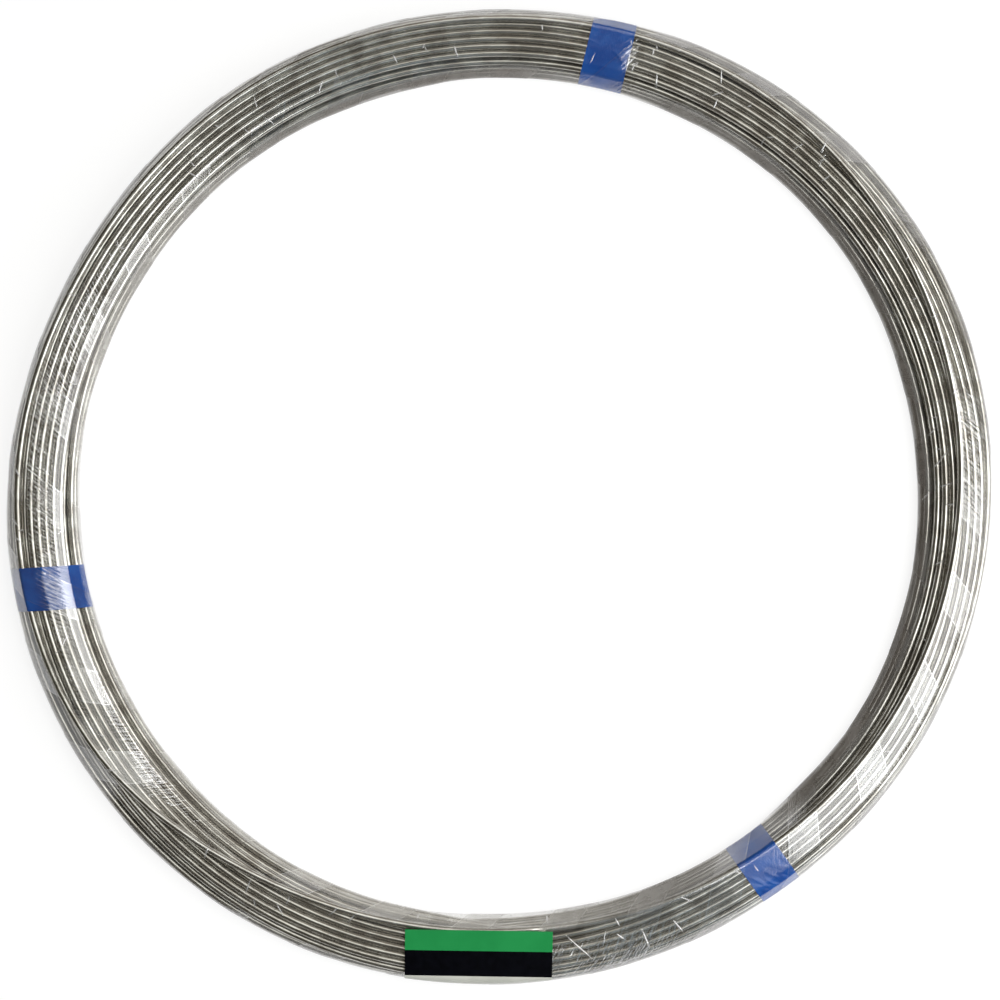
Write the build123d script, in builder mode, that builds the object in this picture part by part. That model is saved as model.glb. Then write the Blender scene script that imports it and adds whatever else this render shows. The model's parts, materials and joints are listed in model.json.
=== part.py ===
"""A coil of galvanised iron wire as it is sold: turns bound with three bands of vinyl tape,
wrapped in clear film, with a folded card label. Axis along +Z, lying on its lower end at z = 0."""

from build123d import *
from math import cos, degrees, radians, sin, sqrt
import os

# The wire, whose turns lie against each other.
wire_diameter = 3.2

# The bundle's section: steps of one turn each from the ridge turn, and the slopes they lie on.
ridge_radius = 201.9
outer_slope = 28.0
outer_slope_steps = 3
rim_lean = 12.0
rim_steps = 2
inner_slope = 14.0
inner_slope_steps = 3
shoulder_slope = 45.0
shoulder_steps = 2
lower_corner = 45.0
lower_steps = 6

# The vinyl tape: its width along the ring, its thickness, and the bearing of each band.
tape_width = 19.0
tape_thickness = 0.25
tape_bearings = {"tape_back": 76.2, "tape_side": 191.1, "tape_front": 305.7}

# The clear film, one closed skin whose inner side bridges the hollow side of the ring.
film_thickness = 0.3
film_bridge = 2.6
film_bore_length = 8.0

# The card label, folded over the film at the front.
label_width = 64.0
label_thickness = 0.3
label_bearing = 267.5

# Play between one layer and the next.
tape_play = 0.1
film_play = 0.15
label_play = 0.1

wire_radius = wire_diameter / 2
tape_inset = wire_radius + tape_play
tape_outset = tape_inset + tape_thickness
film_inset = tape_outset + film_play
film_outset = film_inset + film_thickness


def step(start, count, heading):
    """The turn that lies so many turns from another, at a heading in the section's plane."""
    reach = count * wire_diameter
    return start[0] + reach * cos(radians(heading)), start[1] + reach * sin(radians(heading))


def between(start, end, count):
    """Turns spread evenly from one corner of the section to the next, both included."""
    return [
        (start[0] + (end[0] - start[0]) * k / count, start[1] + (end[1] - start[1]) * k / count)
        for k in range(count + 1)
    ]


def outset(corners, amount):
    """The corners of a clockwise outline moved out, so that every side moves by one amount."""
    moved = []
    for k, corner in enumerate(corners):
        here = Vector(*corner)
        arriving = (here - Vector(*corners[k - 1])).normalized()
        leaving = (Vector(*corners[(k + 1) % len(corners)]) - here).normalized()
        mitre = Vector(-arriving.Y, arriving.X) + Vector(-leaving.Y, leaving.X)
        here += mitre * (amount / (1 + arriving.dot(leaving)))
        moved.append((here.X, here.Y))
    return moved


def radial_plane(bearing):
    """The upright plane through the axis at a bearing: its x runs outwards and its y upwards."""
    outwards = Vector(1, 0, 0).rotate(Axis.Z, bearing)
    return Plane(origin=(0, 0, 0), x_dir=outwards, z_dir=outwards.rotate(Axis.Z, -90))


# The corner turns of the section, walked from the ridge turn at height zero.
ridge = (ridge_radius, 0.0)
outer_shoulder = step(ridge, outer_slope_steps, -outer_slope)
outer_rim = step(outer_shoulder, rim_steps, rim_lean - 90)
lower_outer = step(outer_rim, 1, -90 - lower_corner)
inner_knee = step(ridge, inner_slope_steps, 180 + inner_slope)
inner_shoulder = step(inner_knee, shoulder_steps, 180 + shoulder_slope)
lower_inner = (lower_outer[0] - lower_steps * wire_diameter, lower_outer[1])
inner_rim = step(lower_inner, 1, 90 + lower_corner)

# The same corners set down, so that the film below the lowest turns meets the floor.
rest_height = film_outset - lower_outer[1]
loop = [ridge, outer_shoulder, outer_rim, lower_outer]
loop += [lower_inner, inner_rim, inner_shoulder, inner_knee]
loop = [(radius, height + rest_height) for radius, height in loop]
ridge, outer_shoulder, outer_rim, lower_outer = loop[:4]
lower_inner, inner_rim, inner_shoulder, inner_knee = loop[4:]

# The film follows the same corners, but stands off the inner turns as an upright bore wall.
bore_radius = inner_shoulder[0] - film_outset - film_bridge
bore_middle = (inner_rim[1] + inner_shoulder[1]) / 2
film_outline = outset(loop, film_outset)
film_outline[loop.index(inner_rim)] = (bore_radius, bore_middle - film_bore_length / 2)
film_outline[loop.index(inner_shoulder)] = (bore_radius, bore_middle + film_bore_length / 2)

# The turns that show round the section, clockwise from the inner shoulder.
rim_turns = between(inner_shoulder, inner_knee, shoulder_steps)[:-1]
rim_turns += between(inner_knee, ridge, inner_slope_steps)[:-1]
rim_turns += between(ridge, outer_shoulder, outer_slope_steps)[:-1]
rim_turns += between(outer_shoulder, outer_rim, rim_steps)
rim_turns += between(lower_outer, lower_inner, lower_steps) + [inner_rim]


def ringed(turns):
    """The bundle's outline: the outermost point of each turn, and a groove before the next."""
    points = []
    for k, turn in enumerate(turns):
        here = Vector(*turn)
        following = Vector(*turns[(k + 1) % len(turns)])
        arriving = (here - Vector(*turns[k - 1])).normalized()
        along = (arriving + (following - here).normalized()).normalized()
        crown = here + Vector(-along.Y, along.X) * wire_radius
        groove = (here + following) / 2
        points += [(crown.X, crown.Y), (groove.X, groove.Y)]
    return points


# The wound wire, one turned solid whose turns show as rings on both ends.
with BuildPart() as wire_coil:
    with BuildSketch(Plane.XZ):
        with BuildLine():
            Polyline(*ringed(rim_turns), close=True)
        make_face()
    revolve(axis=Axis.Z)
wire_coil.part.label = "wire_coil"

# Three bands of vinyl tape, each drawn tight round the section of the bundle.
tapes = {}
for name, bearing in tape_bearings.items():
    tape_sweep = degrees(tape_width / ridge_radius)
    with BuildPart() as tape:
        with BuildSketch(radial_plane(bearing - tape_sweep / 2)):
            with BuildLine():
                Polyline(*outset(loop, tape_outset), close=True)
            make_face()
            with BuildLine():
                Polyline(*outset(loop, tape_inset), close=True)
            make_face(mode=Mode.SUBTRACT)
        revolve(axis=Axis.Z, revolution_arc=tape_sweep)
    tape.part.label = name
    tapes[name] = tape

# The film, turned as one closed skin. Its inner wall is the bore that the coil is hung or
# paid off by, and its lower wall is the face that the coil lies on.
with BuildPart() as film_wrap:
    with BuildSketch(Plane.XZ):
        with BuildLine():
            Polyline(*film_outline, close=True)
        make_face()
        with BuildLine():
            Polyline(*outset(film_outline, -film_thickness), close=True)
        make_face(mode=Mode.SUBTRACT)
    revolve(axis=Axis.Z)
film_wrap.part.label = "film_wrap"


def card_line(amount):
    """The label's side view at one distance from the film, from its inner to its outer end.

    The card is straight across the ring, so on the inner slope its ends touch first, and that
    slope lies nearer the axis by the ring's curve over half the card."""
    around = outset(film_outline, amount)
    nearer = [(sqrt(r**2 - (label_width / 2) ** 2), z) for r, z in (around[-1], around[0])]
    return nearer + around[:3]


# The card label, folded over the ridge and down the outer side, with its ends cut square.
with BuildPart() as card_label:
    with BuildSketch(radial_plane(label_bearing)):
        with BuildLine():
            below = card_line(label_play)
            above = card_line(label_play + label_thickness)
            Polyline(*below, *reversed(above), close=True)
        make_face()
    extrude(amount=label_width / 2, both=True)
card_label.part.label = "card_label"

os.makedirs("parts", exist_ok=True)
for piece in (wire_coil, film_wrap, card_label, *tapes.values()):
    export_step(piece.part, f"parts/{piece.part.label}.step")
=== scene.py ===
"""The looks of a coil of galvanised iron wire: one long wire wound in 38 turns, three bands of blue
vinyl tape, a spirally wound clear stretch film and a folded card label. Lengths are in millimetres
until a mesh is made. A bearing is counted in degrees from +X towards +Y, round the coil's axis."""

import json
import math

import bpy
import numpy as np
from mathutils import Matrix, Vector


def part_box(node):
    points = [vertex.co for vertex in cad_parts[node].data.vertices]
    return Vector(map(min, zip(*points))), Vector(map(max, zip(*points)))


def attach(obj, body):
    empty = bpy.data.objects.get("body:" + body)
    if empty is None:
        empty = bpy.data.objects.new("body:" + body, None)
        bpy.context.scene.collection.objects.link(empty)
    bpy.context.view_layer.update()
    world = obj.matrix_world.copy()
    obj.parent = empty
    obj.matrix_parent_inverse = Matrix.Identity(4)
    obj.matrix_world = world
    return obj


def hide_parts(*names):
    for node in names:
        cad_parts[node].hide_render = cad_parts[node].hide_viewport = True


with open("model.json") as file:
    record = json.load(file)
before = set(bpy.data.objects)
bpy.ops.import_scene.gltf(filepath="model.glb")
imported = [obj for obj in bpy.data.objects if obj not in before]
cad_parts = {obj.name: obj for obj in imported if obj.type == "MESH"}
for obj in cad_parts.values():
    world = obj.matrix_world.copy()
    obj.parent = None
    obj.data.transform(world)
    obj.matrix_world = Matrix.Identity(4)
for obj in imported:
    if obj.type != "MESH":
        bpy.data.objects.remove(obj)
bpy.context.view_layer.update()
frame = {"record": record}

MM = 0.001
TURN = 360.0

# The wire and how finely it is drawn.
WIRE = 3.2
WIRE_R = WIRE / 2
STATIONS = 160
WIRE_SIDES = 12

# How far each layer stands off the wire or off the layer below it.
FLOOR_GAP = 0.5
TAPE_LIFT = 0.12
FILM_LIFT = 0.34
FILM_OVERLAP_LIFT = 0.12
CARD_LIFT = 0.25
CARD_THICKNESS = 0.3

# Radii on the round ring. The turn at the rim and the film's clear bore come from the frame. The
# film hangs this far clear of the turn beside the bore, and the top turns lie evenly about the
# middle between that turn and the rim's.
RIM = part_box("wire_coil")[1][0] / MM - WIRE_R
CLEAR_BORE = frame["record"]["mounts"][0]["dims"]["r_mm"]
BORE_TURN_GAP = 4.3
BORE = CLEAR_BORE + BORE_TURN_GAP
MIDDLE = (RIM + BORE) / 2
TOP_TURNS = 7
TURN_STEP = 3.1

# The ring isn't quite round. This is how far its turns sway out from those radii, at every 30
# degrees of bearing, given to half a millimetre.
RIM_SWAY = (1.5, 3.5, 2.0, -2.0, -1.5, -4.5, 1.0, 3.0, 2.5, -1.0, -3.5, -1.0)
MIDDLE_SWAY = (1.0, 1.0, -0.5, -1.0, -1.0, -1.5, 1.0, 2.0, 2.5, 1.0, -2.0, 0.5)
BORE_SWAY = (0.0, 0.5, 0.0, -1.0, -1.5, -0.5, 0.0, 0.5, 1.0, 0.5, 0.5, 0.0)

# The heights that these turns lie at, from the rim turn over the ridge to the bore turn: in
# general, and at the side tape, which they near by a bell curve of so many degrees.
CROWN = (8.4, 11.7, 13.0, 13.9, 13.9, 13.2, 12.5, 10.3, 7.4)
CROWN_AT_SIDE_TAPE = (8.2, 9.0, 12.4, 14.8, 15.2, 14.3, 13.2, 12.0, 7.8)
SIDE_TAPE_REACH = 40.0

# The last turn lies on top of the others and wanders over them: its radius at every 30 degrees,
# and the height that it starts from. No turn ends up higher.
LAST_TURN = (200.0, 205.0, 208.5, 207.0, 207.0, 205.5, 209.5, 207.5, 195.0, 189.5, 191.5, 196.0)
LAST_TURN_HIGHEST = 16.5

# Turns in the rows below, from the floor up, and how far in from the bore and the rim each ends.
# Then how much higher each row starts than the one below it.
ROWS = ((8, 1.6, 1.6), (9, 0.0, 0.0), (7, 3.2, 3.2), (4, 9.5, 6.5))
ROW_STEP = 2.8

# How the turns settle: in how many steps, how far each step lets them sink, how often it pushes
# them apart, and how much of the way it evens them out and pulls them towards their own places.
# The rows below and the last turn are pulled sideways only.
SETTLING_STEPS = 260
SINK = 0.03
PUSHES = 2
EVENING = 0.5
PULL_BELOW = 0.03
PULL_SIDEWAYS = 0.5
PULL_UPWARDS = 0.3

# Below the label each turn moves over to the next one's place, over this sweep of the ring.
CROSSING = 17.2

# How far the film sways out from its clear bore, at every 15 degrees, and between which heights
# it hangs straight there.
FILM_SWAY = (
    0.5, 0.5, 1.5, 1.5, 1.0, 0.5, 0.5, -1.0, -0.5, 0.0, 1.5, 1.5,
    1.0, 1.0, 1.5, 1.5, 2.5, 2.5, 0.5, 0.5, 1.5, 0.0, 1.5, 1.5,
)
FILM_BORE_HEIGHTS = (3.6, 5.8)

# How wide the gathered film shows along the bore and along the rim, at every 30 degrees, and how
# much it is gathered at the rim, where the bore has 1.
GATHERED_INSIDE = (5.5, 5.5, 5.0, 4.4, 4.0, 2.0, 1.5, 2.0, 3.0, 8.0, 8.5, 6.5)
GATHERED_OUTSIDE = (0.0, 4.5, 5.5, 0.5, 0.0, 0.5, 2.0, 2.5, 1.5, 0.5, 0.5, 0.0)
RIM_GATHER = 0.45
RIM_GATHER_FADE = 1.6

# How pale the gathered film is, at every 30 degrees. This is painted shade: dark brown where the
# film's walls stand in shade, at the right and the back, and pale at the left and the front.
GATHERED_SHADE_TONE = (0.10, 0.20, 0.25, 0.20, 0.25, 0.60, 1.0, 1.0, 0.9, 0.95, 0.30, 0.15)

# The film is that pale up to this radius, and dark a little further out, a painted shade along the
# rim. Below this height pale film isn't gathered. Towards a tape's middle all film is gathered less,
# down to nothing, by a bell curve of so many degrees.
PALE_UP_TO = 198.0
PALE_FADE = 4.0
UNDERSIDE = 2.0
UNDERSIDE_FADE = 3.0
SMOOTH_BY_TAPE = 6.0

# The film's strip: how often it goes round the section, its width as a sweep of the ring, how soon
# an overlap rises, and the step of bearing that the skin below it is worked out at.
FILM_WRAPS = 30
FILM_STRIP = 17.0
OVERLAP_RISE = 2.0
FILM_STEP = 0.5

# Where the film is crinkled: the bearing and the radius of each patch's middle, each followed by
# how far the patch reaches, and how strong it is.
CRINKLED = (
    (284.0, 8.0, 206.0, 6.0, 1.8), (178.0, 16.0, 200.0, 4.5, 1.0), (6.0, 11.0, 207.0, 6.0, 0.35),
    (222.0, 12.0, 193.0, 4.0, 0.3), (160.0, 12.0, 196.0, 5.0, 0.6), (73.2, 0.9, 198.0, 8.0, 0.8),
)

# The crinkles' small waves: their height, how many radians they run across the strip and once
# round the section, and how far the film may lie under and over its skin.
CRINKLE_HEIGHT = 0.11
WAVES_ACROSS = 58.0
WAVES_ROUND = 71.0
FILM_LOWEST, FILM_HIGHEST = -0.1, 0.25

# The tape: its width, the radius that it is turned about, how many lines it is drawn with and how
# many points each has, and the wrinkles' greatest height. Then its bands by bearing. Each also has
# its turn from the radial, the radii between which it is wrinkled, and how many wrinkles and which
# way they run from the radial, in degrees.
TAPE_WIDTH = 19.0
TAPE_MIDDLE = 202.0
TAPE_LINES = 37
TAPE_POINTS = 240
WRINKLE_HIGHEST = 0.2
TAPES = {
    "back": (76.2, 0.0, 188.0, 212.0, 5, 60.0),
    "side": (191.6, 8.0, 193.5, 201.5, 18, -42.0),
    "front": (305.6, 0.0, 201.5, 209.0, 26, 28.0),
}

# The card: the bearing of its middle, the way that it faces, its width, the radii of its edge and
# folds, and how far it hangs down at the rim.
LABEL_BEARING = 267.5
LABEL_FACING = 269.1
LABEL_WIDTH = 64.0
LABEL_FOLDS = (188.7, 197.6, 208.8)
LABEL_DROP = 7.5


def around(values, bearing):
    """A smooth closed curve through values spread evenly round the ring: between two of them it is
    the cubic whose slope at each end is half the step between that end's two neighbours."""
    values = np.asarray(values, float)
    step = np.mod(bearing, TURN) / TURN * len(values)
    k = np.floor(step).astype(int)
    t = step - k
    a, b, c, d = (values[(k + i) % len(values)] for i in (-1, 0, 1, 2))
    return b + 0.5 * t * (c - a + t * (2 * a - 5 * b + 4 * c - d + t * (3 * (b - c) + d - a)))


def smooth(t):
    """The S-curve 3t^2 - 2t^3 between 0 and 1."""
    t = np.clip(t, 0.0, 1.0)
    return t * t * (3 - 2 * t)


def bell(t):
    """The bell curve exp(-t^2)."""
    return np.exp(-np.square(t))


def rim_at(bearing):
    """The radius of the turn at the rim."""
    return RIM + around(RIM_SWAY, bearing)


def film_bore_at(bearing):
    """The radius of the film's bore wall."""
    return CLEAR_BORE + around(FILM_SWAY, bearing)


# How the turns lie

def wound_sections(bearing):
    """Radius and height of every turn at each bearing, in the order of winding.

    The turns start in rows. Then each step lets them sink, pulls each towards its own place, pushes
    two turns apart that are nearer than a wire's thickness, each by half of what is missing, and
    evens the height of each turn out along its length, as stiff wire does."""
    rim = rim_at(bearing)
    bore = BORE + around(BORE_SWAY, bearing)
    middle = MIDDLE + around(MIDDLE_SWAY, bearing)
    from_middle = (np.arange(TOP_TURNS)[::-1] - (TOP_TURNS - 1) / 2) * TURN_STEP
    base = WIRE_R + FLOOR_GAP
    rows = []
    for level, (count, from_bore, from_rim) in enumerate(ROWS):
        share = np.linspace(0, 1, count)[:, None]
        row = (bore + from_bore) * (1 - share) + (rim - from_rim) * share
        if level % 2 == 0:
            row = row[::-1]
        rows.append(np.stack([row, np.full_like(row, base + ROW_STEP * level)], -1))
    filled = sum(len(row) for row in rows)
    coat = np.array([rim] + [middle + step for step in from_middle] + [bore])
    share = bell((bearing - TAPES["side"][0]) / SIDE_TAPE_REACH)
    crown = np.outer(CROWN, 1 - share) + np.outer(CROWN_AT_SIDE_TAPE, share)
    rows.append(np.stack([coat, crown], -1))
    last = around(LAST_TURN, bearing)[None]
    rows.append(np.stack([last, np.full_like(last, LAST_TURN_HIGHEST)], -1))
    turns = np.concatenate(rows)
    wanted = turns.copy()
    hold = np.full((len(turns), 1, 2), PULL_BELOW)
    hold[filled:, :, 0] = PULL_SIDEWAYS
    hold[:filled, :, 1] = 0.0
    hold[filled:-1, :, 1] = PULL_UPWARDS
    hold[-1, :, 1] = 0.0
    for _ in range(SETTLING_STEPS):
        turns[:, :, 1] -= SINK
        turns += hold * (wanted - turns)
        for _ in range(PUSHES):
            apart = turns[:, None] - turns[None]
            distance = np.sqrt((apart**2).sum(-1)) + 1e-9
            overlap = np.clip(WIRE - distance, 0, None)
            turns += 0.5 * (apart / distance[..., None] * overlap[..., None]).sum(1)
        beside = (np.roll(turns, 1, 1) + np.roll(turns, -1, 1)) / 2
        turns[:, :, 1] += EVENING * (beside - turns)[:, :, 1]
        turns[:, :, 1] = np.clip(turns[:, :, 1], base, LAST_TURN_HIGHEST)
    return turns


sections = wound_sections(np.arange(STATIONS) * TURN / STATIONS)


def across_ring(field, bearing):
    """A field kept at every station, read between them: along a straight line from one station to
    the next, and closed round the ring. The stations are the field's second axis."""
    step = np.mod(bearing, TURN) / TURN * field.shape[1]
    k = np.floor(step).astype(int) % field.shape[1]
    t = (step - np.floor(step)).reshape(step.shape + (1,) * (field.ndim - 2))
    return field[:, k] * (1 - t) + field[:, (k + 1) % field.shape[1]] * t


def turns_and_film(bearing):
    """The turns' places at each bearing, and two more that hold the film off them at the bore."""
    inner = film_bore_at(bearing) + WIRE_R + FILM_LIFT
    held = [np.stack([inner, np.full_like(inner, z)], -1) for z in FILM_BORE_HEIGHTS]
    return np.concatenate([across_ring(sections, bearing), held])


def height_over(bearing, radius, lift):
    """The height of a skin drawn over the turns, at a bearing and a radius: the lowest of the
    tangent lines there. The line whose outward direction is (cos a, sin a) has the height
    (reach - r cos a) / sin a, where reach is how far the turns and the lift go in that direction.
    The angle a runs over the whole degrees, without those near the level."""
    leaning = np.radians(np.linspace(8, 172, 165))
    outward = np.stack([np.cos(leaning), np.sin(leaning)], -1)
    reach = (turns_and_film(bearing) @ outward.T).max(0) + WIRE_R + lift
    return ((reach - radius[..., None] * outward[:, 0]) / outward[:, 1]).min(-1)


# Meshes

def grid_mesh(name, points, uv, closed_columns=False, caps=False):
    """A mesh of four-sided faces over one grid of points in millimetres, or over several of equal
    size. Face (i, j) joins point (i, j) to its neighbours in both directions. Closed columns join
    their end to their start, and caps close the first and the last row with one face each."""
    points = points.reshape(-1, *points.shape[-3:])
    count, rows, columns = points.shape[:3]
    i = np.arange(rows - 1)
    j = np.arange(columns if closed_columns else columns - 1)
    g, a, b = np.meshgrid(np.arange(count), i, j, indexing="ij")
    corners = (np.stack([a, a + 1, a + 1, a], -1) + g[..., None] * rows) * columns
    corners = corners + np.stack([b, b, b + 1, b + 1], -1) % columns
    loops = corners.reshape(-1)
    u = np.stack([a, a + 1, a + 1, a], -1).reshape(-1)
    v = np.stack([b, b, b + 1, b + 1], -1).reshape(-1)
    loop_uv = np.stack([np.take(uv[0], u), np.take(uv[1], v)], -1)
    starts = np.arange(0, len(loops), 4)
    if caps:
        ends = [np.arange(columns), (rows - 1) * columns + np.arange(columns)[::-1]]
        starts = np.append(starts, [len(loops), len(loops) + columns])
        loops = np.concatenate([loops] + ends)
        loop_uv = np.concatenate([loop_uv, np.zeros((2 * columns, 2))])
    mesh = bpy.data.meshes.new(name)
    mesh.vertices.add(count * rows * columns)
    mesh.vertices.foreach_set("co", (points * MM).astype(np.float32).ravel())
    mesh.loops.add(len(loops))
    mesh.loops.foreach_set("vertex_index", loops.astype(np.int32))
    mesh.polygons.add(len(starts))
    mesh.polygons.foreach_set("loop_start", starts.astype(np.int32))
    mesh.update(calc_edges=True)
    layer = mesh.uv_layers.new(name="UVMap")
    layer.data.foreach_set("uv", loop_uv.astype(np.float32).ravel())
    mesh.polygons.foreach_set("use_smooth", np.ones(len(starts), bool))
    mesh.validate()
    return mesh


def add_piece(name, mesh, surface, replaced=None):
    """A finished piece in the scene, which rides with the coil and may stand for a node."""
    piece = bpy.data.objects.new(name, mesh)
    bpy.context.scene.collection.objects.link(piece)
    mesh.materials.append(surface)
    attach(piece, "root")
    if replaced:
        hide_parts(replaced)
    return piece


def place(radius, height, bearing):
    """Points at a radius, a height and a bearing: x is r cos b, y is r sin b, z is the height."""
    angle = np.radians(bearing)
    height = np.broadcast_to(height, radius.shape)
    return np.stack([radius * np.cos(angle), radius * np.sin(angle), height], -1)


# Node helpers

def grey(value):
    """An opaque grey."""
    return (value, value, value, 1)


def node(tree, kind, inputs=None, **settings):
    """A node with its settings, and its inputs set to values or linked from sockets."""
    made = tree.nodes.new(kind)
    for key, value in settings.items():
        setattr(made, key, value)
    for key, value in (inputs or {}).items():
        if isinstance(value, bpy.types.NodeSocket):
            tree.links.new(value, made.inputs[key])
        else:
            made.inputs[key].default_value = value
    return made


def calculate(tree, operation, *values):
    """The result of a Math node on two or three values."""
    return node(tree, "ShaderNodeMath", dict(enumerate(values)), operation=operation).outputs[0]


def blended(tree, share, low, high, **settings):
    """A colour between two others, by a share from 0 to 1."""
    made = node(tree, "ShaderNodeMix", {0: share, 6: low, 7: high}, data_type="RGBA", **settings)
    return made.outputs[2]


def rising(tree, value, low, high):
    """0 at one value and 1 at another, which may be the lower one, with an S-curve between."""
    made = node(tree, "ShaderNodeMapRange", {"Value": value, 1: low, 2: high},
                interpolation_type="SMOOTHSTEP")
    return made.outputs[0]


def new_group(name, inputs, outputs):
    """An empty node group with its sockets, and its input and output nodes."""
    tree = bpy.data.node_groups.new(name, "ShaderNodeTree")
    for label, kind in inputs:
        tree.interface.new_socket(label, in_out="INPUT", socket_type=f"NodeSocket{kind}")
    for label, kind in outputs:
        tree.interface.new_socket(label, in_out="OUTPUT", socket_type=f"NodeSocket{kind}")
    return tree, tree.nodes.new("NodeGroupInput").outputs, tree.nodes.new("NodeGroupOutput").inputs


def stretched_noise_group():
    """Noise over a vector that is stretched first: long features along X and short ones along Y."""
    sockets = [("Vector", "Vector"), ("Stretch", "Vector"), ("Detail", "Float")]
    tree, given, result = new_group("stretched_noise", sockets, [("Height", "Float")])
    scaled = node(tree, "ShaderNodeVectorMath", {0: given["Vector"], 1: given["Stretch"]},
                  operation="MULTIPLY")
    made = node(tree, "ShaderNodeTexNoise", {"Vector": scaled.outputs[0], "Scale": 1.0,
                                             "Detail": given["Detail"]})
    tree.links.new(made.outputs["Fac"], result["Height"])
    return tree


def cloudy_tone_group():
    """Two colours that pass into each other in soft patches of about one over Scale."""
    sockets = [("Vector", "Vector"), ("Scale", "Float"), ("Low", "Color"), ("High", "Color")]
    tree, given, result = new_group("cloudy_tone", sockets, [("Color", "Color")])
    made = node(tree, "ShaderNodeTexNoise", {"Vector": given["Vector"], "Scale": given["Scale"],
                                             "Detail": 3.0})
    share = rising(tree, made.outputs["Fac"], 0.34, 0.66)
    tree.links.new(blended(tree, share, given["Low"], given["High"]), result["Color"])
    return tree


STRETCHED_NOISE = stretched_noise_group()
CLOUDY_TONE = cloudy_tone_group()


def stretched_noise(tree, vector, along, across):
    """The height of the stretched noise group in a material."""
    made = node(tree, "ShaderNodeGroup", node_tree=STRETCHED_NOISE)
    tree.links.new(vector, made.inputs["Vector"])
    made.inputs["Stretch"].default_value = (along, across, 1.0)
    made.inputs["Detail"].default_value = 2.0
    return made.outputs["Height"]


def cloudy_tone(tree, vector, scale, low, high):
    """The colour of the cloudy tone group in a material."""
    made = node(tree, "ShaderNodeGroup", node_tree=CLOUDY_TONE)
    tree.links.new(vector, made.inputs["Vector"])
    made.inputs["Scale"].default_value = scale
    made.inputs["Low"].default_value = (*low, 1)
    made.inputs["High"].default_value = (*high, 1)
    return made.outputs["Color"]


def material(name):
    """A new node material, its tree, its Principled BSDF and its UV and Object coordinates."""
    made = bpy.data.materials.new(name)
    made.use_nodes = True
    tree = made.node_tree
    places = node(tree, "ShaderNodeTexCoord").outputs
    return made, tree, tree.nodes["Principled BSDF"], places["UV"], places["Object"]


def give_bump(tree, shader, height, distance):
    """Relief on a shader from a height, as deep as a distance in metres."""
    made = node(tree, "ShaderNodeBump", {"Height": height, "Strength": 1.0, "Distance": distance})
    tree.links.new(made.outputs["Normal"], shader.inputs["Normal"])


# Materials

def wire_material():
    """Drawn galvanised wire: a satin zinc skin with draw marks along it and duller patches."""
    made, tree, shader, uv, solid = material("galvanised_wire")
    tree.links.new(cloudy_tone(tree, solid, 110.0, (0.45, 0.43, 0.39), (0.63, 0.62, 0.58)),
                   shader.inputs["Base Color"])
    marks = stretched_noise(tree, uv, 14.0, 900.0)
    rough = node(tree, "ShaderNodeMapRange", {"Value": marks, 1: 0.3, 2: 0.7, 3: 0.15, 4: 0.27})
    tree.links.new(rough.outputs[0], shader.inputs["Roughness"])
    shader.inputs["Metallic"].default_value = 0.93
    give_bump(tree, shader, stretched_noise(tree, uv, 25.0, 2600.0), 0.00003)
    return made


# How much denser the film is where it turns away, along its cut edges and in its flecks, and how
# much where it is gathered: film painted dark for shade is gathered more densely than pale film.
TURNED_DENSITY = 0.22
EDGE_DENSITY = 0.22
FLECK_DENSITY = 0.45
DARK_GATHER_DENSITY = 0.58
PALE_GATHER_LESS = 0.34


def film_material(name, body, metallic):
    """Clear stretch film. It is faint where it is smooth, and denser where it turns away, along its
    cut edges, in hazy wraps, where it is gathered and in the flecks of its crinkles. Its density is
    body (0.55 + 1.2 haze), and each of the others adds to it. Gathered film is milky, and its tone
    runs from brown to white. That tone is painted shade, dark brown where the gathered film lies in
    shade."""
    made, tree, shader, uv, solid = material(name)
    made.surface_render_method = "BLENDED"
    attribute = node(tree, "ShaderNodeAttribute", attribute_name="film_state").outputs
    state = node(tree, "ShaderNodeSeparateColor", {"Color": attribute["Color"]}).outputs
    gathered, haze, crinkle, tone = state["Red"], state["Green"], state["Blue"], attribute["Alpha"]
    across = node(tree, "ShaderNodeSeparateXYZ", {"Vector": uv}).outputs["Y"]
    from_middle = calculate(tree, "ABSOLUTE", calculate(tree, "SUBTRACT", across, 0.5))
    edge = rising(tree, from_middle, 0.490, 0.496)
    turned = node(tree, "ShaderNodeLayerWeight", {"Blend": 0.5}).outputs["Facing"]
    density = calculate(tree, "MULTIPLY_ADD", haze, 1.2 * body, 0.55 * body)
    turned = calculate(tree, "POWER", turned, 3.0)
    density = calculate(tree, "MULTIPLY_ADD", turned, TURNED_DENSITY, density)
    gather_density = calculate(tree, "MULTIPLY_ADD", tone, -PALE_GATHER_LESS, DARK_GATHER_DENSITY)
    density = calculate(tree, "MULTIPLY_ADD", gathered, gather_density, density)
    density = calculate(tree, "MULTIPLY_ADD", edge, EDGE_DENSITY, density)
    ripples = stretched_noise(tree, uv, 8.0, 46.0)
    flecks = calculate(tree, "MULTIPLY", rising(tree, ripples, 0.50, 0.60), crinkle)
    density = calculate(tree, "MULTIPLY_ADD", flecks, FLECK_DENSITY, density)
    tree.links.new(density, shader.inputs["Alpha"])
    clouds = cloudy_tone(tree, solid, 160.0, (0.80, 0.79, 0.78), (1.0, 1.0, 1.0))
    # The brown end of the gathered film's colour is painted shade.
    milky = blended(tree, tone, (0.180, 0.155, 0.138, 1), (0.86, 0.85, 0.82, 1))
    milky = blended(tree, 1.0, milky, clouds, blend_type="MULTIPLY")
    tree.links.new(blended(tree, gathered, (0.88, 0.88, 0.89, 1), milky), shader.inputs["Base Color"])
    metal = calculate(tree, "MULTIPLY_ADD", gathered, 0.1 - metallic, metallic)
    tree.links.new(metal, shader.inputs["Metallic"])
    shader.inputs["Roughness"].default_value = 0.10
    ripples = calculate(tree, "MULTIPLY", ripples, calculate(tree, "ADD", crinkle, 0.06))
    give_bump(tree, shader, ripples, 0.0009)
    return made


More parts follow.
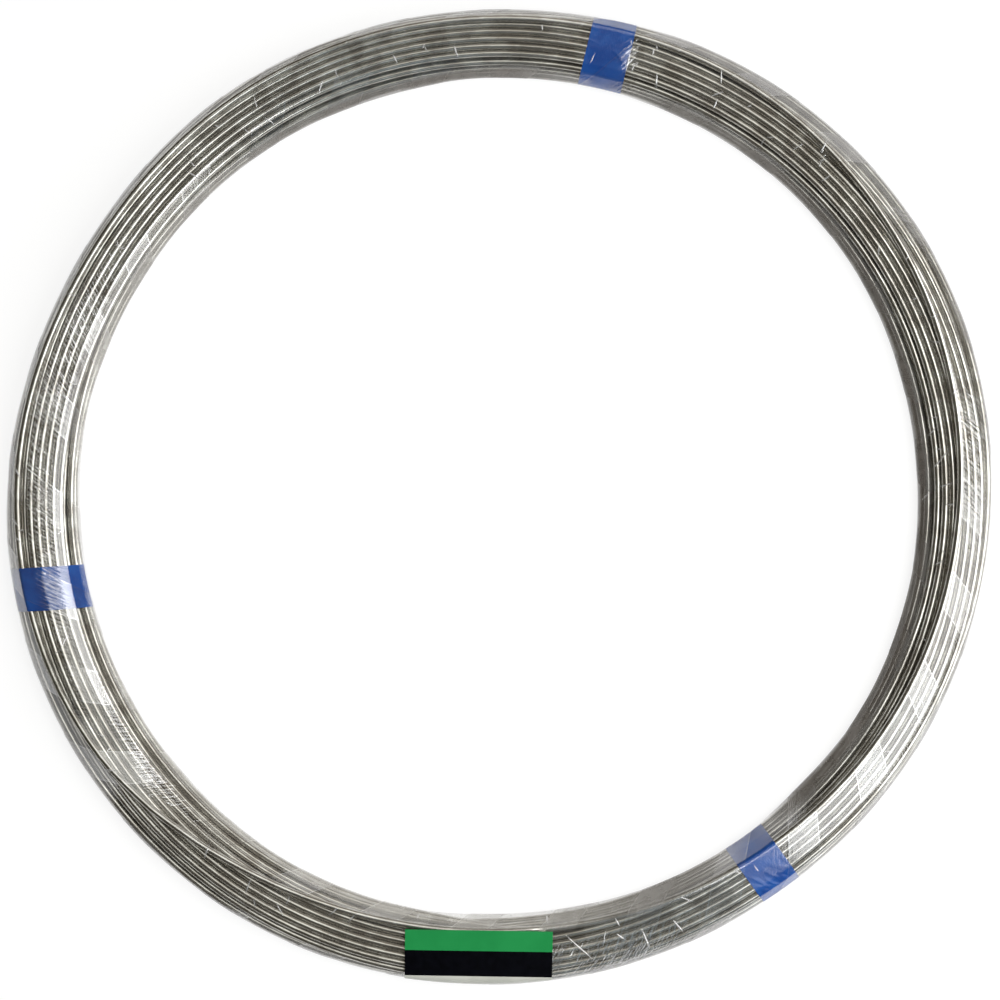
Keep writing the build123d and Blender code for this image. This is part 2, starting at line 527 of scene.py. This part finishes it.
def tape_material():
    """Blue vinyl tape under film: deep blue and glossy, with fine stretch marks along it."""
    made, tree, shader, uv, solid = material("blue_tape")
    tree.links.new(cloudy_tone(tree, solid, 150.0, (0.004, 0.062, 0.32), (0.008, 0.092, 0.41)),
                   shader.inputs["Base Color"])
    shader.inputs["Roughness"].default_value = 0.26
    give_bump(tree, shader, stretched_noise(tree, uv, 40.0, 8.0), 0.00008)
    return made


def card_material():
    """Printed coated card: a green band, a black band and the bare pale card past the fold."""
    made, tree, shader, uv, solid = material("label_card")
    along = node(tree, "ShaderNodeSeparateXYZ", {"Vector": uv}).outputs["X"]
    green = cloudy_tone(tree, solid, 60.0, (0.020, 0.315, 0.082), (0.024, 0.345, 0.092))
    black = cloudy_tone(tree, solid, 300.0, (0.0008, 0.0008, 0.002), (0.0018, 0.0018, 0.004))
    pale = cloudy_tone(tree, solid, 90.0, (0.66, 0.67, 0.61), (0.74, 0.75, 0.69))
    printed = blended(tree, rising(tree, along, 0.332, 0.3345), green, black)
    printed = blended(tree, rising(tree, along, 0.666, 0.669), printed, pale)
    tree.links.new(printed, shader.inputs["Base Color"])
    shader.inputs["Roughness"].default_value = 0.22
    shader.inputs["Specular IOR Level"].default_value = 0.13
    give_bump(tree, shader, stretched_noise(tree, solid, 130.0, 130.0), 0.00012)
    return made


# The wire

def wound_wire():
    """One tube along the whole winding. Turn after turn it keeps its own radius and height, and
    below the label each turn moves over to the place of the next, by an S-curve."""
    count = len(sections)
    travelled = np.arange(count * STATIONS + 1) / STATIONS
    shift = CROSSING / TURN
    turn = np.minimum(travelled.astype(int), count - 1)
    bearing = LABEL_BEARING + shift / 2 * TURN + (travelled - turn) * TURN
    here = across_ring(sections, bearing)
    station = np.arange(len(travelled))
    own = here[turn, station]
    following = here[np.minimum(turn + 1, count - 1), station]
    share = smooth((travelled - turn - 1 + shift) / shift)[:, None]
    centre = own * (1 - share) + following * share
    angle = np.arange(WIRE_SIDES) * 2 * np.pi / WIRE_SIDES
    radius = centre[:, :1] + WIRE_R * np.cos(angle)
    height = centre[:, 1:] + WIRE_R * np.sin(angle)
    points = place(radius, height, bearing[:, None])
    length = np.append(0, np.cumsum(np.sqrt((np.diff(points[:, 0], axis=0) ** 2).sum(-1)))) * MM
    girth = np.linspace(0, np.pi * WIRE * MM, WIRE_SIDES + 1)
    return grid_mesh("wound_wire", points, (length, girth), closed_columns=True, caps=True)


add_piece("wound_wire", wound_wire(), wire_material(), "wire_coil")


# Skins drawn round the bundle

def drawn_skin(centres, lift, samples=128):
    """The line that a skin makes when it is drawn tight round the bundle, at each bearing.

    Along every direction it touches the turn that reaches furthest, and it runs straight from one
    such turn to the next. The line is then read at even steps of its own length, for all bearings
    at once: each runs from 0 to 1, and starts 2 further on than the one before. Returns points and
    outward directions, as radius and height, with one row for each bearing."""
    stations = np.arange(centres.shape[1])
    angle = np.radians(np.linspace(-90, 270, 361))
    outward = np.stack([np.cos(angle), np.sin(angle)], -1)
    furthest = (centres @ outward.T).argmax(0)
    line = centres[furthest, stations[:, None]] + (WIRE_R + lift) * outward
    steps = np.sqrt((np.diff(line, axis=1) ** 2).sum(-1))
    along = np.concatenate([np.zeros((len(stations), 1)), np.cumsum(steps, 1)], 1)
    along = along / along[:, -1:] + 2 * stations[:, None]
    even = np.linspace(0, 1, samples + 1)[None] + 2 * stations[:, None]
    read = [np.interp(even.ravel(), along.ravel(), line[..., i].ravel()) for i in (0, 1)]
    points = np.stack(read, -1).reshape(*even.shape, 2)
    ahead = np.roll(points[:, :-1], -1, 1) - np.roll(points[:, :-1], 1, 1)
    ahead = np.concatenate([ahead, ahead[:, :1]], 1)
    ahead /= np.sqrt((ahead**2).sum(-1, keepdims=True))
    return points, np.stack([ahead[..., 1], -ahead[..., 0]], -1)


def gathered_inside(radius, bearing):
    """How much the film is gathered along the bore: 1 at its edge and 0 past the listed width."""
    width = around(GATHERED_INSIDE, bearing)
    return smooth(1.6 - 1.5 * (radius - film_bore_at(bearing)) / width)


def give_film_state(mesh, gathered, haze, crinkle, tone):
    """How gathered, hazy and crinkled the film is at each point, and how pale its painted shade leaves
    it, as one colour attribute.
    """
    state = np.stack([gathered, haze, crinkle, tone], -1)
    layer = mesh.attributes.new("film_state", "FLOAT_COLOR", "POINT")
    layer.data.foreach_set("color", state.astype(np.float32).ravel())


def crinkled_places(radius, bearing):
    """How crinkled the film is: the strongest of a few patches, each of them one bell curve over
    the bearing times another over the radius."""
    total = np.zeros_like(radius)
    for middle, sweep, reach, width, amount in CRINKLED:
        aside = np.mod(bearing - middle + TURN / 2, TURN) - TURN / 2
        total = np.maximum(total, amount * bell(aside / sweep) * bell((radius - reach) / width))
    return total


def film_wrap(steps_round=80, steps_across=32):
    """One long strip wound round and round the ring, each wrap over the edge of the last.

    Its bearing grows steadily with the way round the section, plus the place across the strip. It
    lies on the drawn skin, lifted where it covers the wrap before. Where it is crinkled it is also
    lifted by small waves, sin(across) sin(along), whose phase drifts from wrap to wrap."""
    stations = np.arange(0, TURN, FILM_STEP)
    skin, outward = drawn_skin(turns_and_film(stations), FILM_LIFT)
    both = np.concatenate([skin, outward], -1)[:, :-1]
    way = np.arange(FILM_WRAPS * steps_round + 1) / steps_round
    across = np.linspace(-0.5, 0.5, steps_across + 1)
    bearing = way[:, None] * TURN / FILM_WRAPS + FILM_STRIP * across[None]
    row = np.mod(bearing, TURN) / FILM_STEP
    column = np.broadcast_to(np.mod(way, 1.0)[:, None] * both.shape[1], row.shape)
    i, j = np.floor(row).astype(int), np.floor(column).astype(int)
    s, t = (row - i)[..., None], (column - j)[..., None]
    rows, columns = both.shape[:2]
    corner = [both[p % rows, q % columns] for p, q in ((i, j), (i + 1, j), (i, j + 1), (i + 1, j + 1))]
    got = (corner[0] * (1 - s) + corner[1] * s) * (1 - t) + (corner[2] * (1 - s) + corner[3] * s) * t
    covered = smooth((FILM_STRIP / 2 - TURN / FILM_WRAPS - FILM_STRIP * across) / OVERLAP_RISE)
    crinkle = crinkled_places(got[..., 0], bearing) * smooth(2 * got[..., 3])
    drift = np.sin(1.7 * way + 3.0 * np.sin(0.63 * way))[:, None]
    waves = np.sin(across * WAVES_ACROSS + 4.0 * drift)
    waves = waves * np.sin(way[:, None] * WAVES_ROUND + 9.0 * across + 2.0 * drift)
    lift = FILM_OVERLAP_LIFT * covered + CRINKLE_HEIGHT * crinkle * waves
    section = got[..., :2] + np.clip(lift, FILM_LOWEST, FILM_HIGHEST)[..., None] * got[..., 2:]
    mesh = grid_mesh("film_strip", place(section[..., 0], section[..., 1], bearing),
                     (way, np.linspace(0, 1, steps_across + 1)))
    outside = section[..., 0] - rim_at(bearing) - WIRE_R + around(GATHERED_OUTSIDE, bearing)
    by_tape = [bell((np.mod(bearing, TURN) - tape[0]) / SMOOTH_BY_TAPE) for tape in TAPES.values()]
    off_tape = 1 - sum(by_tape)
    at_rim = RIM_GATHER * smooth(outside / RIM_GATHER_FADE)
    gathered = np.maximum(gathered_inside(section[..., 0], bearing), at_rim)
    # The gathered film's tone is painted shade, which darkens it at the right, the back and along the
    # rim.
    tone = around(GATHERED_SHADE_TONE, bearing) * (1 - smooth((section[..., 0] - PALE_UP_TO) / PALE_FADE))
    under = 1 - smooth((section[..., 1] - UNDERSIDE) / UNDERSIDE_FADE)
    gathered = gathered * off_tape * (1 - under * tone)
    hazes = np.random.default_rng(7).uniform(0, 1, FILM_WRAPS) ** 2
    haze = np.interp(way, np.arange(FILM_WRAPS), hazes)[:, None] + 0 * bearing
    give_film_state(mesh, gathered, haze, crinkle, tone)
    return mesh


CLEAR_FILM = film_material("clear_film", 0.09, 0.95)
film_piece = add_piece("film_strip", film_wrap(), CLEAR_FILM, "film_wrap")
film_piece.visible_shadow = False

# Creases that stand up from the film: bearing and radius of one end and of the other, and size.
CREASES = (
    (70.9, 205.2, 70.8, 202.1, 0.22), (69.6, 196.0, 68.8, 188.6, 0.26),
    (62.5, 208.3, 61.6, 202.2, 0.26), (61.2, 196.5, 61.0, 191.5, 0.22),
    (103.6, 197.5, 103.3, 192.5, 0.24), (95.8, 197.0, 95.4, 191.0, 0.24),
    (288.4, 208.2, 288.1, 197.2, 0.30), (292.9, 206.4, 292.2, 198.6, 0.28),
    (278.3, 192.0, 281.6, 206.5, 0.24), (284.9, 196.6, 285.8, 200.6, 0.24),
    (285.6, 194.4, 285.3, 190.0, 0.22), (73.6, 202.0, 73.4, 191.5, 0.30),
    (359.1, 184.2, 0.7, 188.3, 0.16), (0.7, 188.3, 1.9, 199.5, 0.12),
    (7.5, 186.8, 9.2, 193.9, 0.14), (3.0, 187.6, 5.2, 194.7, 0.14),
    (259.3, 183.0, 259.0, 188.0, 0.20), (258.2, 183.4, 259.6, 186.2, 0.18),
    (276.4, 183.0, 276.5, 188.4, 0.20), (182.2, 213.0, 184.0, 208.6, 0.16),
    (184.6, 211.8, 186.0, 207.4, 0.16), (176.4, 211.6, 178.2, 207.0, 0.16),
    (47.3, 210.0, 46.9, 203.5, 0.22), (44.0, 200.0, 44.3, 195.0, 0.18),
    (231.0, 203.6, 230.2, 196.0, 0.22), (237.5, 205.0, 237.0, 197.5, 0.20),
    (214.6, 209.0, 216.0, 203.0, 0.18), (350.5, 190.0, 352.0, 196.5, 0.16),
    (4.2, 191.0, 6.0, 197.0, 0.16), (122.0, 194.0, 121.2, 188.5, 0.18),
    (134.0, 196.0, 133.4, 189.0, 0.18), (147.0, 199.0, 146.6, 193.0, 0.18),
    (331.0, 204.5, 331.8, 209.5, 0.20),
)

# Besides those, this many small ones at random. The ones this near to the label's middle are left
# out again.
SMALL_CREASES = 70
CLEAR_OF_LABEL = 12.0


def film_creases():
    """Folds of film, each a small roof along a straight line from one end to the other. For a size
    h its height is 0.6 h (1 - |w|^1.5) across it, where w runs from -1 to 1, and both the height
    and the width fall to nothing at the ends, as the root of a sine."""
    rng = np.random.default_rng(11)
    spot = rng.uniform(0, TURN, SMALL_CREASES)
    start = rng.uniform(189.0, 206.0, SMALL_CREASES)
    sweep = rng.normal(0, 0.8, SMALL_CREASES)
    reach = rng.uniform(2.0, 6.0, SMALL_CREASES)
    size = rng.uniform(0.08, 0.16, SMALL_CREASES)
    more = np.stack([spot, start, spot + sweep, start + reach, size], -1)
    clear_of_label = np.abs(spot - LABEL_BEARING) > CLEAR_OF_LABEL
    ends = np.concatenate([np.array(CREASES), more[clear_of_label]])
    rows, columns = 25, 9
    along = np.linspace(0, 1, rows)[None, :, None]
    across = np.linspace(-1, 1, columns)[None, None, :]
    first, second = place(ends[:, 1], 0.0, ends[:, 0]), place(ends[:, 3], 0.0, ends[:, 2])
    run = second - first
    length = np.sqrt((run**2).sum(-1, keepdims=True))
    aside = np.stack([-run[:, 1], run[:, 0], 0 * run[:, 0]], -1) / length
    wander = 0.05 * np.sin(along[..., 0] * 7.0 + ends[:, :1]) * np.sin(along[..., 0] * np.pi)
    taper = np.sqrt(np.sin(np.pi * np.clip(along, 0.002, 0.998)))
    width = (0.16 + 0.9 * ends[:, 4])[:, None, None] * taper
    shift = wander[:, :, None] + width * across
    flat = (first[:, None, None] + run[:, None, None] * along[..., None]
            + aside[:, None, None] * shift[..., None])
    bearing = np.degrees(np.arctan2(flat[..., 1], flat[..., 0]))
    radius = np.hypot(flat[..., 0], flat[..., 1])
    radius = np.clip(radius, film_bore_at(bearing) + 1.2, rim_at(bearing) + 0.8)
    over = height_over(bearing, radius, FILM_LIFT)
    rise = 0.6 * ends[:, 4][:, None, None] * taper * (1 - np.abs(across) ** 1.5)
    points = place(radius, over + FILM_OVERLAP_LIFT + rise - 0.02, bearing)[:, :, ::-1]
    film_uv = np.linspace(0, 0.08, rows), np.linspace(0.49, 0.51, columns)
    mesh = grid_mesh("film_creases", points, film_uv)
    zero = np.zeros(points.shape[:3])
    # A fold is densest at the middle of its length, which whitens it there as a painted highlight.
    give_film_state(mesh, zero, zero + taper**3, zero, zero)
    return mesh


# The folds are denser and less metallic than the clear film. Besides the glint their roofs catch, they
# also show white by their own colour, which is a painted highlight.
FOLDED_FILM_AND_HIGHLIGHT = film_material("folded_film", 0.32, 0.45)
crease_piece = add_piece("film_creases", film_creases(), FOLDED_FILM_AND_HIGHLIGHT)
crease_piece.visible_shadow = False


# The tape

def tape_wrinkles(radius, aside, low, high, count, way, seed):
    """How far wrinkles lift the tape: each is a bell curve across a short straight line, and another
    along it. The lines lie between two radii and run about one way from the radial."""
    rng = np.random.default_rng(seed)
    lift = np.zeros_like(radius)
    for _ in range(count):
        middle = rng.uniform(low, high), rng.uniform(-TAPE_WIDTH / 2, TAPE_WIDTH / 2)
        lean = math.radians(way + rng.normal(0, 12))
        half, deep, wide = rng.uniform(1.5, 5.0), rng.uniform(0.08, 0.22), rng.uniform(0.4, 0.8)
        out, side = radius - middle[0], aside - middle[1]
        along = out * math.cos(lean) + side * math.sin(lean)
        off = side * math.cos(lean) - out * math.sin(lean)
        lift += deep * bell(off / wide) * bell(along / half)
    return lift


def tape_band(name, bearing, turned, low, high, count, way):
    """A band of tape drawn tight round the wire: the skin's line at each bearing across the band,
    lifted by its wrinkles on the upper side. The band is equally wide at every radius, and turned
    from the radial about its middle."""
    half = math.degrees(TAPE_WIDTH / 2 / TAPE_MIDDLE)
    across = bearing + np.linspace(-half, half, TAPE_LINES)
    skin, outward = drawn_skin(across_ring(sections, across), TAPE_LIFT, samples=TAPE_POINTS)
    skin, outward = skin[:, :-1], outward[:, :-1]
    aside = np.linspace(-TAPE_WIDTH / 2, TAPE_WIDTH / 2, TAPE_LINES)[:, None] + 0 * skin[..., 0]
    off = aside + math.tan(math.radians(turned)) * (TAPE_MIDDLE - skin[..., 0])
    across = bearing + np.degrees(np.arctan(off / skin[..., 0]))
    lift = tape_wrinkles(skin[..., 0], aside, low, high, count, way, seed=int(bearing))
    lift = np.minimum(lift, WRINKLE_HIGHEST) * smooth(outward[..., 1] * 2)
    skin = skin + lift[..., None] * outward
    points = place(skin[..., 0], skin[..., 1], across)
    tape_uv = np.linspace(0, 1, TAPE_LINES), np.linspace(0, 4, TAPE_POINTS + 1)
    return grid_mesh(name, points, tape_uv, closed_columns=True)


BLUE_TAPE = tape_material()
for tape_name, (tape_bearing, *wrinkled) in TAPES.items():
    band = tape_band(f"vinyl_band_{tape_name}", tape_bearing, *wrinkled)
    add_piece(f"vinyl_band_{tape_name}", band, BLUE_TAPE, f"tape_{tape_name}")


# The card label

def label_card():
    """A card with straight folds: three strips, each straight across, and in side view a straight
    line from fold to fold, raised until it clears the film below. The last strip bends down to the
    round of the rim as a quarter ellipse."""
    off_middle = LABEL_FOLDS[-1] * math.sin(math.radians(LABEL_BEARING - LABEL_FACING))
    side = np.linspace(-LABEL_WIDTH / 2, LABEL_WIDTH / 2, 33)
    side = np.sort(np.append(side, side[[0, -1]] * 0.997)) + off_middle
    facing = math.radians(LABEL_FACING)
    folds = []
    for reach in LABEL_FOLDS:
        bearing = LABEL_FACING + np.degrees(np.arctan2(side, reach))
        over = height_over(bearing, np.hypot(reach, side), FILM_LIFT + FILM_OVERLAP_LIFT).max()
        folds.append((reach, over + CARD_LIFT))
    steps = 16
    line = np.concatenate([np.linspace(folds[k], folds[k + 1], steps + 1)[:-1] for k in (0, 1)])
    bearing = LABEL_FACING + np.degrees(np.arctan2(side, line[:, :1]))
    below = height_over(bearing, np.hypot(line[:, :1], side), FILM_LIFT + FILM_OVERLAP_LIFT)
    bulge = np.clip(below.max(1) + CARD_LIFT - line[:, 1], 0, None).max()
    line[:, 1] += bulge
    folds[-1] = (folds[-1][0], folds[-1][1] + bulge)
    plan = np.broadcast_to(line[:, None, 0], (len(line), len(side)))
    height = np.broadcast_to(line[:, None, 1], plan.shape)
    bend = np.linspace(0, np.pi / 2, steps + 1)[:, None]
    bearing = LABEL_FACING + np.degrees(np.arctan2(side, folds[-1][0]))
    rim = rim_at(bearing) + WIRE_R + FILM_LIFT + FILM_OVERLAP_LIFT + CARD_LIFT
    rim = np.sqrt(rim**2 - side**2)[None]
    plan = np.concatenate([plan, folds[-1][0] + (rim - folds[-1][0]) * np.sin(bend)])
    height = np.concatenate([height, folds[-1][1] - LABEL_DROP * (1 - np.cos(bend)) + 0 * side])
    out = np.array([math.cos(facing), math.sin(facing)])
    right = np.array([-out[1], out[0]])
    flat = plan[..., None] * out + np.broadcast_to(side, plan.shape)[..., None] * right
    points = np.concatenate([flat, height[..., None]], -1)
    card_uv = np.linspace(0, 1, len(plan)), np.linspace(0, 1, len(side))
    return grid_mesh("folded_label", points, card_uv)


card_piece = add_piece("folded_label", label_card(), card_material(), "card_label")
thickness = card_piece.modifiers.new("thickness", "SOLIDIFY")
thickness.thickness = CARD_THICKNESS * MM
thickness.offset = 1.0


# The setting

def seen_directly(tree):
    """Two masks: 1 for rays from the camera or through clear things, and 1 for rays off glossy
    things."""
    path = node(tree, "ShaderNodeLightPath").outputs
    seen = calculate(tree, "MAXIMUM", path["Is Camera Ray"], path["Is Transmission Ray"])
    return seen, path["Is Glossy Ray"]


def pale_floor():
    """A pale floor that looks white and still shows the coil's soft shadow."""
    half = 4.0
    corners = [(-half, -half, 0), (half, -half, 0), (half, half, 0), (-half, half, 0)]
    mesh = bpy.data.meshes.new("floor")
    mesh.from_pydata(corners, [], [(0, 1, 2, 3)])
    floor = bpy.data.objects.new("floor", mesh)
    bpy.context.scene.collection.objects.link(floor)
    made = bpy.data.materials.new("pale_floor")
    made.use_nodes = True
    tree = made.node_tree
    tree.nodes.clear()
    seen, glossy = seen_directly(tree)
    share = calculate(tree, "MULTIPLY", calculate(tree, "MAXIMUM", seen, glossy), 0.72)
    plain = node(tree, "ShaderNodeBsdfDiffuse", {"Color": grey(0.85)})
    white = node(tree, "ShaderNodeEmission", {"Color": grey(1.0), "Strength": 1.19})
    mixed = node(tree, "ShaderNodeMixShader", {0: share, 1: plain.outputs[0], 2: white.outputs[0]})
    node(tree, "ShaderNodeOutputMaterial", {"Surface": mixed.outputs[0]})
    mesh.materials.append(made)


def dim_room():
    """Dim surroundings: a bright patch high up at the back right, a warm glow at the back and a cool
    one at the front, both fading low down, a dark strip from side to side between them, and
    darkness at the left. Seen directly, it is white."""
    world = bpy.data.worlds.new("studio")
    world.use_nodes = True
    bpy.context.scene.world = world
    tree = world.node_tree
    tree.nodes.clear()
    direction = node(tree, "ShaderNodeTexCoord").outputs["Generated"]
    parts = node(tree, "ShaderNodeSeparateXYZ", {"Vector": direction}).outputs
    to_back = rising(tree, parts["Y"], -0.35, 0.35)
    glow = blended(tree, to_back, (0.30, 0.36, 0.39, 1), (0.50, 0.45, 0.39, 1))
    low_glow = blended(tree, to_back, (0.09, 0.11, 0.125, 1), (0.19, 0.165, 0.137, 1))
    glow = blended(tree, rising(tree, parts["Z"], 0.66, 0.50), glow, low_glow)
    to_side = rising(tree, calculate(tree, "ABSOLUTE", parts["Y"]), 0.22, 0.36)
    colour = blended(tree, to_side, (0.045, 0.046, 0.042, 1), glow)
    from_left = calculate(tree, "MULTIPLY_ADD", to_back, 0.2, calculate(tree, "ADD", parts["X"], -0.2))
    colour = blended(tree, rising(tree, from_left, -0.05, -0.30), colour, (0.052, 0.045, 0.031, 1))
    patch_way = (0.231, 0.295, 0.927)
    near_patch = node(tree, "ShaderNodeVectorMath", {0: direction, 1: patch_way},
                      operation="DOT_PRODUCT").outputs["Value"]
    colour = blended(tree, rising(tree, near_patch, 0.915, 0.975), colour, (1.50, 1.50, 1.42, 1))
    room = node(tree, "ShaderNodeBackground", {"Color": colour, "Strength": 1.0})
    backdrop = node(tree, "ShaderNodeBackground", {"Color": grey(1.0), "Strength": 1.0})
    seen = seen_directly(tree)[0]
    mixed = node(tree, "ShaderNodeMixShader", {0: seen, 1: room.outputs[0], 2: backdrop.outputs[0]})
    node(tree, "ShaderNodeOutputWorld", {"Surface": mixed.outputs[0]})


def window_light(elevation, bearing, distance, tall, wide, radiance):
    """A large soft light that faces the coil, with the same brightness all over."""
    lamp = bpy.data.lights.new("window_light", "AREA")
    lamp.shape = "RECTANGLE"
    lamp.size, lamp.size_y = wide, tall
    lamp.energy = radiance * math.pi * tall * wide
    lamp.color = (1.0, 1.0, 0.99)
    e, b = math.radians(elevation), math.radians(bearing)
    away = np.array([math.cos(e) * math.cos(b), math.cos(e) * math.sin(b), math.sin(e)])
    up = np.array([-math.sin(e) * math.cos(b), -math.sin(e) * math.sin(b), math.cos(e)])
    made = bpy.data.objects.new("window_light", lamp)
    made.location = away * distance
    made.rotation_euler = Matrix(np.stack([np.cross(up, away), up, away], 1).tolist()).to_euler()
    made.visible_camera = False
    bpy.context.scene.collection.objects.link(made)


def photo_camera():
    """A camera straight above the coil, a little off its axis, which takes in 437 mm at the coil's
    widest level. These are metres, apart from the sensor and the lens."""
    level, eye, view_width = 0.008, 1.1, 0.437
    off_axis = 0.00033, -0.00205
    camera = bpy.data.cameras.new("camera")
    camera.sensor_width = 36.0
    camera.lens = camera.sensor_width * (eye - level) / view_width
    made = bpy.data.objects.new("camera", camera)
    made.location = (*off_axis, eye)
    bpy.context.scene.collection.objects.link(made)
    bpy.context.scene.camera = made


bpy.context.scene.view_settings.view_transform = "Standard"
pale_floor()
dim_room()
window_light(elevation=47.0, bearing=-14.0, distance=1.2, tall=1.12, wide=1.15, radiance=3.35)
photo_camera()
